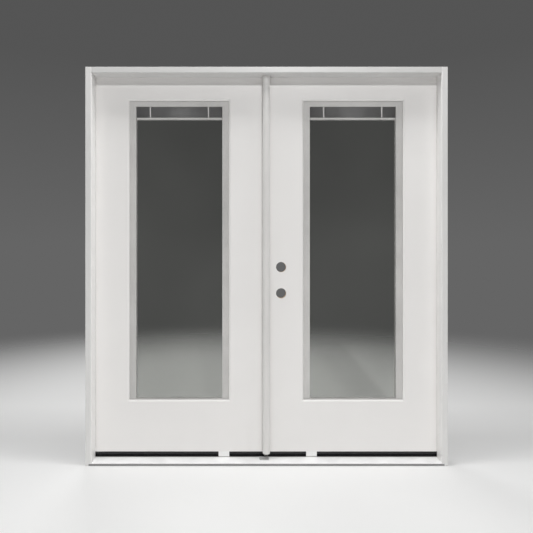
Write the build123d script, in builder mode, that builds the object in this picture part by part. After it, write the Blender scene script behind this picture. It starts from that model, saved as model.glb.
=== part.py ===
from build123d import *
import os

# A pair of inswing french doors in their frame, lengths in millimetres.
# X runs to the right seen from outside, Y from outside to inside, Z up.
# The origin is the middle of the sill's underside.
os.makedirs("parts", exist_ok=True)

# Whole unit
unit_width = 1880.0
unit_height = 2070.0
jamb_depth = 116.0
overrun = 5.0  # how far a cutting shape runs past the face that it cuts
running_gap = 0.3  # between a moving piece and what it passes

# Frame boards, thick in front where the stop is and thin behind it
stop_board = 31.75
rabbet_board = 19.05
stop_depth = 68.0
board_round = 1.5
stop_round = 4.5  # eased corner between the face and the opening
kerf_width = 3.0
kerf_depth = 9.0
kerf_inset = 4.0
seal_width = 8.4
seal_round = 1.2

# Sill
sill_front_height = 13.0
sill_back_height = 18.5
sill_inset = 17.0
tread_thickness = 1.6
tread_groove_width = 1.6
tread_groove_depth = 0.6
tread_groove_shares = (0.2, 0.36, 0.52, 0.68, 0.84)
cap_thickness = 8.5
cap_round = 3.0
relief_width = 24.0
relief_depth = 4.0
relief_spacing = 68.0
pad_width = 49.5
pad_depth = 34.0
pad_thickness = 4.0
pad_round = 15.0
pad_offset = 11.8  # middle of the pad, to the passive side of the meeting line

# Leaves
leaf_thickness = 44.5
leaf_rise = 47.2  # underside of the leaf above the floor
hinge_gap = 3.0
head_gap = 3.25
meeting_gap = 19.9
skin_thickness = 2.0
stile_width = 28.0
rail_height = 38.0

# Lite: the opening at the glass, and the bevelled lip round it
stile_face = 190.0
top_face = 133.3
bottom_face = 273.3
lip_depth = 6.0
lip_run = 4.0
pane_thickness = 4.0
pane_lap = 11.5  # how far the glass runs behind the lip
pane_clearance = 1.0

# Tracks and rails between the panes, by the width that shows
side_band = 34.0
head_band = 27.5
bottom_band = 8.0
channel_wall = 2.0

# Blind, raised
slat_count = 100
slat_width = 16.0
slat_thickness = 0.25
slat_end_gap = 2.0
stack_height = 57.0
tape_width = 10.0
tape_thickness = 0.4
tape_spacing = 311.0
blind_rail_height = 11.0
blind_rail_edge = 2.0
handle_width = 26.0
handle_height = 52.0
handle_base = 4.0
handle_grip_width = 14.0
handle_grip_height = 16.0
handle_grip = 7.0
handle_corner = 5.0
handle_edge = 1.2
lift_handle_rise = 48.0  # middle of the handle above the lite's lower edge
tilt_handle_drop = 560.0  # middle of the handle below the lite's upper edge

# Hinges
hinge_height = 100.0
hinge_plate = 2.5
plate_reach = 30.0
plate_setback = 0.5
knuckle_radius = 6.0
knuckle_count = 3
knuckle_gap = 0.3
knuckle_stand = 6.5  # hinge axis behind the inside face
pin_radius = 3.0
pin_fit = 0.05
pin_stand = 2.0  # pin above and below its knuckles
top_hinge_drop = 228.0
bottom_hinge_rise = 304.0

# Lock bores of the active leaf
bore_radius = 27.0
bore_backset = 69.85
knob_rise = 842.5
bore_spacing = 139.7
latch_radius = 12.7
faceplate_width = 25.4
faceplate_height = 57.15
faceplate_depth = 4.0
block_width = 120.0
block_height = 380.0

# Astragal of the passive leaf, with its bolts
astragal_body = 16.7
flange_width = 38.0
flange_stand = 42.5  # front of the flange ahead of the leaf's face
flange_crown = 9.0
flange_gap = 3.0
flange_head_gap = 1.75
flange_foot_round = 7.0
astragal_seal = 6.0
bolt_radius = 5.0
bolt_length = 150.0
bolt_top_travel = 16.0
bolt_bottom_travel = 37.0
bolt_hole_clearance = 1.0
bolt_hole_spare = 1.5
thumb_width = 6.0
thumb_height = 12.0
thumb_drop = 110.0
thumb_sink = 0.6

# Sweep under each leaf, with a support clip let into it
sweep_setback = 0.5
sweep_base = 3.0
sweep_bead_width = 8.0
sweep_bead_height = 13.0
sweep_bead_edge = 2.4
sweep_fin = 2.2
sweep_fin_shares = (0.09, 0.52, 0.86)
sweep_lift = 1.3  # sweep above the threshold
clip_width = 57.0
clip_reach = 231.7  # middle of the clip from the leaf's free edge, or from the astragal on it
clip_depth = 16.0
clip_wall = 3.0
clip_round = 2.0

# Places worked out from the sizes
half_width = unit_width / 2
front_y = -jamb_depth / 2
back_y = jamb_depth / 2
stop_y = front_y + stop_depth
stop_x = half_width - stop_board
rabbet_x = half_width - rabbet_board
stop_z = unit_height - stop_board
rabbet_z = unit_height - rabbet_board
kerf_x = stop_x + kerf_inset + kerf_width / 2
kerf_z = stop_z + kerf_inset + kerf_width / 2
sill_half = half_width - sill_inset
cap_seat_z = sill_back_height - cap_thickness

leaf_y = back_y - leaf_thickness
leaf_mid_y = back_y - leaf_thickness / 2
leaf_edge_x = rabbet_x - hinge_gap
leaf_free_x = meeting_gap / 2
leaf_width = leaf_edge_x - leaf_free_x
leaf_mid_x = (leaf_edge_x + leaf_free_x) / 2
leaf_top = rabbet_z - head_gap
leaf_height = leaf_top - leaf_rise
leaf_mid_z = leaf_rise + leaf_height / 2
core_y = leaf_y + skin_thickness
core_back_y = back_y - skin_thickness

lite_width = leaf_width - 2 * stile_face
lite_bottom = leaf_rise + bottom_face
lite_top = leaf_top - top_face
lite_height = lite_top - lite_bottom
lite_mid_z = (lite_bottom + lite_top) / 2
pane_width = lite_width + 2 * pane_lap
pane_height = lite_height + 2 * pane_lap
pane_y = leaf_y + lip_depth
pane_back_y = back_y - lip_depth
cavity_y = pane_y + pane_thickness
cavity_back_y = pane_back_y - pane_thickness
cavity_depth = cavity_back_y - cavity_y
clear_width = lite_width - 2 * side_band
clear_top = lite_top - head_band
clear_bottom = lite_bottom + bottom_band
slat_length = clear_width - 2 * slat_end_gap
slat_pitch = stack_height / slat_count
stack_bottom = clear_top - stack_height

axis_x = rabbet_x - hinge_gap / 2
axis_y = back_y + knuckle_stand
hinge_heights = (
    leaf_rise + bottom_hinge_rise,
    (leaf_rise + bottom_hinge_rise + leaf_top - top_hinge_drop) / 2,
    leaf_top - top_hinge_drop,
)
knuckle_pitch = hinge_height / knuckle_count

bore_x = leaf_free_x + bore_backset
knob_z = leaf_rise + knob_rise
bore_heights = (knob_z, knob_z + bore_spacing)
bore_mid_z = knob_z + bore_spacing / 2

flange_y = leaf_y - flange_stand
flange_back_y = leaf_y - flange_gap
flange_top = stop_z - flange_head_gap
bolt_x = astragal_body / 2 - leaf_free_x
bolt_hole_radius = bolt_radius + bolt_hole_clearance
bolt_bore_radius = bolt_radius + running_gap
astragal_edge_x = astragal_body - leaf_free_x

sweep_y = leaf_y + sweep_setback
sweep_back_y = back_y - sweep_setback
sweep_bottom = sill_back_height + sweep_lift

passive = -1
active = 1


def upright(y):
    """Plane across the doorway at depth y, drawn in X and Z."""
    return Plane.XZ.offset(-y)


def across(x):
    """Plane along the jamb depth at x, drawn in Y and Z."""
    return Plane.YZ.offset(x)


def level(z):
    """Level plane at height z, drawn in X and Y."""
    return Plane.XY.offset(z)


def save(piece, name):
    """Label a finished piece and write it to its own file."""
    piece.part.label = name
    export_step(piece.part, f"parts/{name}.step")


def block(low, high, mode=Mode.ADD):
    """Square-edged block between two corners, added to the part in hand."""
    middle = tuple((a + b) / 2 for a, b in zip(low, high))
    size = [abs(b - a) for a, b in zip(low, high)]
    with Locations(middle):
        Box(*size, mode=mode)


def polygon_face(plane, points):
    """Straight-sided face on a plane."""
    with BuildSketch(plane) as face:
        with BuildLine():
            Polyline(*points, close=True)
        make_face()
    return face.sketch


def sill_outline(plane):
    """Whole section of the sill, which the jamb feet are cut to fit."""
    return polygon_face(
        plane,
        (
            (front_y - overrun, -overrun),
            (front_y - overrun, sill_front_height),
            (front_y, sill_front_height),
            (stop_y, sill_back_height),
            (back_y + overrun, sill_back_height),
            (back_y + overrun, -overrun),
        ),
    )


def plate_outline(plane, back):
    """Square-cornered hinge plates of one leaf, out to the depth given."""
    front = back_y - plate_reach
    with BuildSketch(plane) as plates:
        for height in hinge_heights:
            with Locations(((front + back) / 2, height)):
                Rectangle(back - front, hinge_height)
    return plates.sketch


# Frame: two side jambs with a kerf for the seal, a foot cut to the sill and hinge mortises
def make_jamb(name, side):
    with BuildPart() as jamb:
        with BuildSketch():
            with BuildLine():
                Polyline(
                    (side * half_width, front_y),
                    (side * half_width, back_y),
                    (side * rabbet_x, back_y),
                    (side * rabbet_x, stop_y),
                    (side * stop_x, stop_y),
                    (side * stop_x, front_y),
                    close=True,
                )
            make_face()
            front = vertices().group_by(Axis.Y)[0].sort_by(Axis.X)
            fillet(front[-1] if side == passive else front[0], radius=stop_round)
            front = vertices().group_by(Axis.Y)[0].sort_by(Axis.X)
            fillet(front[0] if side == passive else front[-1], radius=board_round)
            with Locations((side * kerf_x, stop_y - kerf_depth / 2)):
                Rectangle(kerf_width, kerf_depth, mode=Mode.SUBTRACT)
        extrude(amount=unit_height)
        foot = sill_outline(across(side * (stop_x - overrun)))
        extrude(foot, amount=side * (sill_half - stop_x + overrun), mode=Mode.SUBTRACT)
        mortises = plate_outline(across(side * rabbet_x), back_y + overrun)
        extrude(mortises, amount=side * hinge_plate, mode=Mode.SUBTRACT)
    save(jamb, name)


# Frame: head between the jambs, with the hole that the top bolt enters
def make_head():
    with BuildPart() as head:
        with BuildSketch(across(0)):
            with BuildLine():
                Polyline(
                    (front_y, unit_height),
                    (back_y, unit_height),
                    (back_y, rabbet_z),
                    (stop_y, rabbet_z),
                    (stop_y, stop_z),
                    (front_y, stop_z),
                    close=True,
                )
            make_face()
            fillet(vertices().group_by(Axis.X)[0].sort_by(Axis.Y)[0], radius=stop_round)
            fillet(vertices().group_by(Axis.X)[0].sort_by(Axis.Y)[-1], radius=board_round)
            with Locations((stop_y - kerf_depth / 2, kerf_z)):
                Rectangle(kerf_depth, kerf_width, mode=Mode.SUBTRACT)
        extrude(amount=stop_x, both=True)
        with BuildSketch(across(0)):
            with Locations(((stop_y + back_y) / 2, (rabbet_z + unit_height) / 2)):
                Rectangle(back_y - stop_y, rabbet_board)
        extrude(amount=rabbet_x, both=True)
        with BuildSketch(level(rabbet_z)):
            with Locations((bolt_x, leaf_mid_y)):
                Circle(bolt_hole_radius)
        extrude(amount=bolt_top_travel - head_gap + bolt_hole_spare, mode=Mode.SUBTRACT)
    save(head, "head_jamb")


# Frame: sill of substrate, metal tread and threshold cap
def make_sill():
    with BuildPart() as substrate:
        with BuildSketch(across(0)):
            with BuildLine():
                Polyline(
                    (front_y, 0),
                    (front_y, sill_front_height - tread_thickness),
                    (stop_y, sill_back_height - tread_thickness),
                    (stop_y, cap_seat_z),
                    (back_y, cap_seat_z),
                    (back_y, 0),
                    close=True,
                )
            make_face()
            with GridLocations(relief_spacing, 0, 2, 1):
                Rectangle(relief_width, 2 * relief_depth, mode=Mode.SUBTRACT)
        extrude(amount=sill_half, both=True)
        cut_bottom_bolt_hole()
    save(substrate, "sill_substrate")

    with BuildPart() as tread:
        with BuildSketch(across(0)):
            with BuildLine():
                Polyline(
                    (front_y, sill_front_height - tread_thickness),
                    (front_y, sill_front_height),
                    (stop_y, sill_back_height),
                    (stop_y, sill_back_height - tread_thickness),
                    close=True,
                )
            make_face()
            for share in tread_groove_shares:
                height = sill_front_height + share * (sill_back_height - sill_front_height)
                with Locations((front_y + share * stop_depth, height)):
                    Rectangle(tread_groove_width, 2 * tread_groove_depth, mode=Mode.SUBTRACT)
        extrude(amount=sill_half, both=True)
    save(tread, "sill_tread")

    with BuildPart() as cap:
        with BuildSketch(across(0)):
            with Locations(((stop_y + back_y) / 2, (cap_seat_z + sill_back_height) / 2)):
                Rectangle(back_y - stop_y, cap_thickness)
            fillet(vertices().group_by(Axis.Y)[-1].sort_by(Axis.X)[-1], radius=cap_round)
        extrude(amount=sill_half, both=True)
        cut_bottom_bolt_hole()
    save(cap, "threshold_cap")


def cut_bottom_bolt_hole():
    """Hole in the sill that the bottom bolt enters."""
    floor = leaf_rise - bolt_bottom_travel - bolt_hole_spare
    with BuildSketch(level(floor)) as hole:
        with Locations((bolt_x, leaf_mid_y)):
            Circle(bolt_hole_radius)
    extrude(hole.sketch, amount=sill_back_height - floor + overrun, mode=Mode.SUBTRACT)


# Frame: soft pad on the sloping tread, under the astragal
def make_sill_pad():
    slope = Vector(0, stop_depth, sill_back_height - sill_front_height)
    rise_share = 1 - pad_depth / 2 / stop_depth
    height = sill_front_height + rise_share * (sill_back_height - sill_front_height)
    seat = Plane(
        origin=(-pad_offset, front_y + rise_share * stop_depth, height),
        x_dir=(1, 0, 0),
        z_dir=Vector(1, 0, 0).cross(slope),
    )
    with BuildPart() as pad:
        with BuildSketch(seat):
            Rectangle(pad_width, pad_depth)
            fillet(vertices().group_by(Axis.X)[0].sort_by(Axis.Y)[0], radius=pad_round)
        extrude(amount=pad_thickness)
    save(pad, "sill_pad")


# Frame: compression seals, each with a tail in the kerf
def make_side_seal(name, side):
    with BuildPart() as seal:
        with BuildSketch(level(sill_back_height)):
            with Locations((side * kerf_x, (stop_y + leaf_y - running_gap) / 2)):
                Rectangle(seal_width, leaf_y - running_gap - stop_y)
            fillet(vertices().group_by(Axis.Y)[-1], radius=seal_round)
            with Locations((side * kerf_x, stop_y - (kerf_depth - running_gap) / 2)):
                Rectangle(kerf_width - 2 * running_gap, kerf_depth - running_gap)
        extrude(amount=rabbet_z - sill_back_height)
    save(seal, name)


def make_head_seal():
    with BuildPart() as seal:
        with BuildSketch(across(0)):
            with Locations(((stop_y + leaf_y - running_gap) / 2, kerf_z)):
                Rectangle(leaf_y - running_gap - stop_y, seal_width)
            fillet(vertices().group_by(Axis.X)[-1], radius=seal_round)
        extrude(amount=kerf_x - seal_width / 2, both=True)
        with BuildSketch(across(0)):
            with Locations((stop_y - (kerf_depth - running_gap) / 2, kerf_z)):
                Rectangle(kerf_depth - running_gap, kerf_width - 2 * running_gap)
        extrude(amount=stop_x, both=True)
    save(seal, "head_weatherstrip")


# Hinges: plates with alternate knuckles, three to a leaf, and their pins
def make_hinge_plates(name, side, face_x, plate_back_x, first_knuckle):
    with BuildPart() as plates:
        outline = plate_outline(across(side * face_x), back_y - plate_setback)
        extrude(outline, amount=side * (plate_back_x - face_x))
        for height in hinge_heights:
            for index in range(first_knuckle, knuckle_count, 2):
                foot = height - hinge_height / 2 + index * knuckle_pitch + knuckle_gap / 2
                knuckle = knuckle_outline(side, (face_x + plate_back_x) / 2, foot)
                extrude(knuckle, amount=knuckle_pitch - knuckle_gap)
    save(plates, name)


def knuckle_outline(side, plate_x, z):
    """Section of a knuckle with the finger that carries it and its pin bore."""
    finger = axis_y - back_y + plate_setback
    with BuildSketch(level(z)) as section:
        with Locations((side * plate_x, axis_y - finger / 2)):
            Rectangle(hinge_plate, finger)
        with Locations((side * axis_x, axis_y)):
            Circle(knuckle_radius)
            Circle(pin_radius + pin_fit, mode=Mode.SUBTRACT)
    return section.sketch


def make_hinge_pins(name, side):
    with BuildPart() as pins:
        for height in hinge_heights:
            with BuildSketch(level(height)):
                with Locations((side * axis_x, axis_y)):
                    Circle(pin_radius)
            extrude(amount=hinge_height / 2 + pin_stand, both=True)
    save(pins, name)


# Leaf: a skin with a bevelled lip that turns in to the glass
def make_skin(name, side, face_y, inward, cut_features):
    glass_y = face_y + inward * lip_depth
    middle = (side * leaf_mid_x, lite_mid_z)
    with BuildPart() as skin:
        with BuildSketch(upright(face_y)):
            with Locations((side * leaf_mid_x, leaf_mid_z)):
                Rectangle(leaf_width, leaf_height)
        extrude(amount=-inward * skin_thickness)
        for grow, mode in ((skin_thickness, Mode.ADD), (0, Mode.SUBTRACT)):
            with BuildSketch(upright(face_y)):
                with Locations(middle):
                    Rectangle(lite_width + 2 * (lip_run + grow), lite_height + 2 * (lip_run + grow))
            with BuildSketch(upright(glass_y)):
                with Locations(middle):
                    Rectangle(lite_width + 2 * grow, lite_height + 2 * grow)
            loft(ruled=True, mode=mode)
        cut_features(side)
    save(skin, name)


def cut_leaf_mortises(side):
    """Hinge mortises in the hinge edge of a leaf."""
    mortises = plate_outline(across(side * leaf_edge_x), back_y + overrun)
    extrude(mortises, amount=-side * hinge_plate, mode=Mode.SUBTRACT)


def cut_lock_bores(side):
    """Knob and deadbolt bores through the active leaf."""
    if side == active:
        with BuildSketch(upright(leaf_mid_y)) as bores:
            for height in bore_heights:
                with Locations((bore_x, height)):
                    Circle(bore_radius)
        extrude(bores.sketch, amount=leaf_thickness, both=True, mode=Mode.SUBTRACT)


def cut_latch_bores():
    """Latch bores from the free edge of the active leaf to its lock bores."""
    with BuildSketch(across(leaf_free_x)) as latches:
        for height in bore_heights:
            with Locations((leaf_mid_y, height)):
                Circle(latch_radius)
    extrude(latches.sketch, amount=bore_backset, mode=Mode.SUBTRACT)


def cut_interior_features(side):
    cut_leaf_mortises(side)
    cut_lock_bores(side)


# Leaf: edge boards and foam between the skins
def make_core(prefix, side):
    inner_edge = leaf_edge_x - stile_width
    inner_free = leaf_free_x + stile_width
    with BuildPart() as hinge_stile:
        block((side * inner_edge, core_y, leaf_rise), (side * leaf_edge_x, core_back_y, leaf_top))
        cut_leaf_mortises(side)
    save(hinge_stile, f"{prefix}_hinge_stile")

    with BuildPart() as lock_stile:
        block((side * leaf_free_x, core_y, leaf_rise), (side * inner_free, core_back_y, leaf_top))
        if side == active:
            cut_latch_bores()
            with BuildSketch(across(leaf_free_x)):
                for height in bore_heights:
                    with Locations((leaf_mid_y, height)):
                        Rectangle(faceplate_width, faceplate_height)
            extrude(amount=faceplate_depth, mode=Mode.SUBTRACT)
    save(lock_stile, f"{prefix}_lock_stile")

    with BuildPart() as top_rail:
        block(
            (side * inner_free, core_y, leaf_top - rail_height),
            (side * inner_edge, core_back_y, leaf_top),
        )
    save(top_rail, f"{prefix}_top_rail")

    with BuildPart() as bottom_rail:
        block(
            (side * inner_free, core_y, leaf_rise),
            (side * inner_edge, core_back_y, leaf_rise + rail_height),
        )
    save(bottom_rail, f"{prefix}_bottom_rail")

    block_low = (inner_free, core_y, bore_mid_z - block_height / 2)
    block_high = (inner_free + block_width, core_back_y, bore_mid_z + block_height / 2)
    if side == active:
        with BuildPart() as lock_block:
            block(block_low, block_high)
            cut_lock_bores(side)
            cut_latch_bores()
        save(lock_block, f"{prefix}_lock_block")

    with BuildPart() as foam:
        with BuildSketch(upright(core_y)):
            with Locations((side * leaf_mid_x, leaf_mid_z)):
                Rectangle(leaf_width - 2 * stile_width, leaf_height - 2 * rail_height)
            with Locations((side * leaf_mid_x, lite_mid_z)):
                Rectangle(
                    pane_width + 2 * pane_clearance,
                    pane_height + 2 * pane_clearance,
                    mode=Mode.SUBTRACT,
                )
        extrude(amount=core_y - core_back_y)
        if side == active:
            block(block_low, block_high, mode=Mode.SUBTRACT)
    save(foam, f"{prefix}_foam_core")


# Lite: two panes with tracks, head rail and spacer between them
def make_glazing(prefix, side):
    middle = (side * leaf_mid_x, lite_mid_z)
    for name, face_y in (("exterior_glass", pane_y), ("interior_glass", cavity_back_y)):
        with BuildPart() as pane:
            with BuildSketch(upright(face_y)):
                with Locations(middle):
                    Rectangle(pane_width, pane_height)
            extrude(amount=-pane_thickness)
        save(pane, f"{prefix}_{name}")

    track_width = side_band + pane_lap
    track_x = pane_width / 2 - track_width / 2
    mid_y = (cavity_y + cavity_back_y) / 2
    with BuildPart() as tracks:
        with BuildSketch(level(lite_mid_z - pane_height / 2)):
            for hand in (-1, 1):
                with Locations((side * leaf_mid_x + hand * track_x, mid_y)):
                    Rectangle(track_width, cavity_depth)
                    Rectangle(
                        track_width - 2 * channel_wall,
                        cavity_depth - 2 * channel_wall,
                        mode=Mode.SUBTRACT,
                    )
        extrude(amount=pane_height)
    save(tracks, f"{prefix}_side_tracks")

    for name, low, high, open_side in (
        ("head_rail", clear_top, lite_top + pane_lap, 1),
        ("bottom_spacer", lite_bottom - pane_lap, clear_bottom, -1),
    ):
        with BuildPart() as channel:
            with BuildSketch(across(side * leaf_mid_x)):
                with Locations((mid_y, (low + high) / 2)):
                    Rectangle(cavity_depth, high - low)
                hollow = high - low - channel_wall
                with Locations((mid_y, (low + high + open_side * channel_wall) / 2)):
                    Rectangle(cavity_depth - 2 * channel_wall, hollow, mode=Mode.SUBTRACT)
            extrude(amount=clear_width / 2, both=True)
        save(channel, f"{prefix}_{name}")


# Blind: slats stacked under the head rail, ladder tapes and the bottom rail
def make_blind(prefix, side):
    mid_x = side * leaf_mid_x
    mid_y = (cavity_y + cavity_back_y) / 2
    with BuildPart() as slats:
        with BuildSketch(across(mid_x - slat_length / 2)):
            with Locations((mid_y, stack_bottom + stack_height / 2)):
                with GridLocations(0, slat_pitch, 1, slat_count):
                    Rectangle(slat_width, slat_thickness)
        extrude(amount=slat_length, clean=False)
    save(slats, f"{prefix}_slats")

    with BuildPart() as tapes:
        tape_y = slat_width / 2 + running_gap + tape_thickness / 2
        with BuildSketch(level(stack_bottom)):
            with Locations((mid_x, mid_y)):
                with GridLocations(tape_spacing, 2 * tape_y, 2, 2):
                    Rectangle(tape_width, tape_thickness)
        extrude(amount=stack_height)
    save(tapes, f"{prefix}_ladder_tapes")

    with BuildPart() as rail:
        with BuildSketch(across(mid_x)):
            with Locations((mid_y, stack_bottom - blind_rail_height / 2)):
                Rectangle(slat_width, blind_rail_height)
            chamfer(vertices(), length=blind_rail_edge)
        extrude(amount=slat_length / 2, both=True)
    save(rail, f"{prefix}_blind_rail")


# Blind: handles that a magnet holds on the inner pane, over the side tracks
def make_handle(name, x, z):
    seat_y = pane_back_y + running_gap
    with BuildPart() as handle:
        with BuildSketch(upright(seat_y)):
            with Locations((x, z)):
                Rectangle(handle_width, handle_height)
            chamfer(vertices(), length=handle_corner)
        extrude(amount=-handle_base)
        with BuildSketch(upright(seat_y + handle_base)):
            with Locations((x, z)):
                Rectangle(handle_grip_width, handle_grip_height)
            chamfer(vertices(), length=handle_corner / 2)
        extrude(amount=-handle_grip)
        chamfer(handle.faces().sort_by(Axis.Y)[-1].edges(), length=handle_edge)
    save(handle, name)


# Leaf: sweep along the underside, with a gap in front where the clip sits
def make_sweep(prefix, side):
    clip_x = leaf_free_x + clip_reach if side == active else astragal_edge_x - clip_reach
    notch = clip_width / 2 + running_gap
    with BuildPart() as sweep:
        with BuildSketch(across(side * leaf_mid_x)):
            bead_y = sweep_y + sweep_bead_width / 2
            with Locations((bead_y, leaf_rise - sweep_bead_height / 2)):
                Rectangle(sweep_bead_width, sweep_bead_height)
            chamfer(vertices(), length=sweep_bead_edge)
            with Locations(((bead_y + sweep_back_y) / 2, leaf_rise - sweep_base / 2)):
                Rectangle(sweep_back_y - bead_y, sweep_base)
            for share in sweep_fin_shares:
                fin_y = sweep_y + share * (sweep_back_y - sweep_y)
                with Locations((fin_y, (sweep_bottom + leaf_rise) / 2)):
                    Rectangle(sweep_fin, leaf_rise - sweep_bottom)
        extrude(amount=leaf_width / 2, both=True)
        block(
            (clip_x - notch, sweep_y - overrun, sweep_bottom - overrun),
            (clip_x + notch, leaf_y + clip_depth + running_gap, leaf_rise + overrun),
            mode=Mode.SUBTRACT,
        )
    save(sweep, f"{prefix}_sweep")

    with BuildPart() as clip:
        with BuildSketch(across(clip_x)):
            with Locations((leaf_y + clip_depth / 2, (sweep_bottom + leaf_rise) / 2)):
                Rectangle(clip_depth, leaf_rise - sweep_bottom)
                fillet(vertices().group_by(Axis.X)[0], radius=clip_round)
            with Locations((leaf_y + clip_wall + clip_depth / 2, (sweep_bottom + leaf_rise) / 2)):
                Rectangle(clip_depth, leaf_rise - sweep_bottom - 2 * clip_wall, mode=Mode.SUBTRACT)
        extrude(amount=clip_width / 2, both=True)
    save(clip, f"{prefix}_bottom_clip")


# Astragal: crowned cap that laps both leaves, on a body along the passive leaf's free edge
def make_astragal():
    crown_y = flange_y + flange_crown
    with BuildPart() as cap:
        with BuildSketch(level(leaf_rise)):
            with BuildLine():
                Polyline(
                    (-flange_width / 2, crown_y),
                    (-flange_width / 2, leaf_y),
                    (astragal_edge_x, leaf_y),
                    (astragal_edge_x, flange_back_y),
                    (flange_width / 2, flange_back_y),
                    (flange_width / 2, crown_y),
                )
                ThreePointArc(
                    (flange_width / 2, crown_y), (0, flange_y), (-flange_width / 2, crown_y)
                )
            make_face()
        extrude(amount=flange_top - leaf_rise)
        foot_corners = cap.edges().filter_by(Axis.Y).group_by(Axis.Z)[0]
        outer_corners = foot_corners.group_by(Axis.X)[0] + foot_corners.group_by(Axis.X)[-1]
        fillet(outer_corners, radius=flange_foot_round)
    save(cap, "passive_astragal_cap")

    with BuildPart() as astragal:
        block((-leaf_free_x, leaf_y, leaf_rise), (astragal_edge_x, back_y, leaf_top))
        for end, inward in ((leaf_top, -1), (leaf_rise, 1)):
            travel = bolt_top_travel if inward < 0 else bolt_bottom_travel
            with BuildSketch(level(end)):
                with Locations((bolt_x, leaf_mid_y)):
                    Circle(bolt_bore_radius)
            extrude(amount=inward * (bolt_length + bolt_hole_spare), mode=Mode.SUBTRACT)
            thumb_z = end + inward * thumb_drop
            slot_end = thumb_z - inward * (travel + thumb_height / 2 + bolt_hole_spare)
            slot_start = thumb_z + inward * (thumb_height / 2 + bolt_hole_spare)
            half_slot = thumb_width / 2 + running_gap
            block(
                (bolt_x, leaf_mid_y - half_slot, min(slot_end, slot_start)),
                (astragal_edge_x + overrun, leaf_mid_y + half_slot, max(slot_end, slot_start)),
                mode=Mode.SUBTRACT,
            )
    save(astragal, "passive_astragal")

    with BuildPart() as seal:
        seal_x = (leaf_free_x + flange_width / 2) / 2
        with BuildSketch(level(leaf_rise)):
            with Locations((seal_x, (flange_back_y + leaf_y - running_gap) / 2)):
                Rectangle(astragal_seal, leaf_y - running_gap - flange_back_y)
            fillet(vertices().group_by(Axis.Y)[-1], radius=seal_round)
        extrude(amount=flange_top - leaf_rise)
    save(seal, "passive_astragal_seal")


def make_bolt(name, end, inward):
    with BuildPart() as bolt:
        with BuildSketch(level(end)):
            with Locations((bolt_x, leaf_mid_y)):
                Circle(bolt_radius)
        extrude(amount=inward * bolt_length)
        thumb_z = end + inward * thumb_drop
        block(
            (bolt_x, leaf_mid_y - thumb_width / 2, thumb_z - thumb_height / 2),
            (astragal_edge_x - thumb_sink, leaf_mid_y + thumb_width / 2, thumb_z + thumb_height / 2),
        )
    save(bolt, name)


make_jamb("left_jamb", passive)
make_jamb("right_jamb", active)
make_head()
make_sill()
make_sill_pad()
make_side_seal("left_weatherstrip", passive)
make_side_seal("right_weatherstrip", active)
make_head_seal()
for hand, leaf, leaf_side in (("left", "passive", passive), ("right", "active", active)):
    make_hinge_plates(f"{hand}_jamb_hinge_plates", leaf_side, rabbet_x, rabbet_x + hinge_plate, 0)
    make_hinge_pins(f"{hand}_hinge_pins", leaf_side)
    make_hinge_plates(f"{leaf}_leaf_hinge_plates", leaf_side, leaf_edge_x, leaf_edge_x - hinge_plate, 1)
    make_skin(f"{leaf}_exterior_skin", leaf_side, leaf_y, 1, cut_lock_bores)
    make_skin(f"{leaf}_interior_skin", leaf_side, back_y, -1, cut_interior_features)
    make_core(leaf, leaf_side)
    make_glazing(leaf, leaf_side)
    make_blind(leaf, leaf_side)
    handle_reach = lite_width / 2 - side_band / 2
    lite_x = leaf_side * leaf_mid_x
    make_handle(f"{leaf}_lift_handle", lite_x - handle_reach, lite_bottom + lift_handle_rise)
    make_handle(f"{leaf}_tilt_handle", lite_x + handle_reach, lite_top - tilt_handle_drop)
    make_sweep(leaf, leaf_side)
make_astragal()
make_bolt("passive_top_bolt", leaf_top, -1)
make_bolt("passive_bottom_bolt", leaf_rise, 1)
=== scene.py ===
import math

import bmesh
import bpy
from bpy.props import (
    FloatProperty,
    FloatVectorProperty,
    IntProperty,
    PointerProperty,
)
from bpy.types import Operator, Panel, PropertyGroup
from mathutils import Matrix, Vector
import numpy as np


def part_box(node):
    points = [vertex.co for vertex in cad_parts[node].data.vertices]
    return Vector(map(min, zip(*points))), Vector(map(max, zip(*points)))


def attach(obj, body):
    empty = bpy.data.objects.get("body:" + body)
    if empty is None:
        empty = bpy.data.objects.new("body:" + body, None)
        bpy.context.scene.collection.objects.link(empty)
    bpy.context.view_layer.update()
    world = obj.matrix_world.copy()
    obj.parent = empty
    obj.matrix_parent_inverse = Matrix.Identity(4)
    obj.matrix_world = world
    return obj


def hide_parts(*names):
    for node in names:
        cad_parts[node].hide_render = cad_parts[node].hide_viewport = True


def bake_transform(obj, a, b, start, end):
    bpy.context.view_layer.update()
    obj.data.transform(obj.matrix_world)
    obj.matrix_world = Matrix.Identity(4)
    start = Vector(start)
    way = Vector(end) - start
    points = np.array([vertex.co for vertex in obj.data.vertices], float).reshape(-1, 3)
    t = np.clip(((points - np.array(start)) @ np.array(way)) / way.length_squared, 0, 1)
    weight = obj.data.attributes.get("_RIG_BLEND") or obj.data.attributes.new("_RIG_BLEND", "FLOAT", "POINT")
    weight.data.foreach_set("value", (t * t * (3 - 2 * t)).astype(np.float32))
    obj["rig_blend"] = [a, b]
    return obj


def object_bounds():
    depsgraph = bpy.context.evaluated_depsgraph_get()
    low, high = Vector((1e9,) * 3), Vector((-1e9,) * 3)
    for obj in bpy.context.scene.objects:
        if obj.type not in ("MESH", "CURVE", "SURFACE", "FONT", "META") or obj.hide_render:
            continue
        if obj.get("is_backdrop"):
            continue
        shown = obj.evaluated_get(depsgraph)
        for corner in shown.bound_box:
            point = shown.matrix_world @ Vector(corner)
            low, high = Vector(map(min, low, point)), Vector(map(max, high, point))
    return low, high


bl_info = {
    "name": "French Doors",
    "version": (1, 0, 0),
    "blender": (4, 5, 0),
    "location": "View3D > Sidebar > French Doors",
    "description": "Finishes a pair of french doors in their frame",
    "category": "Object",
}

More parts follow.
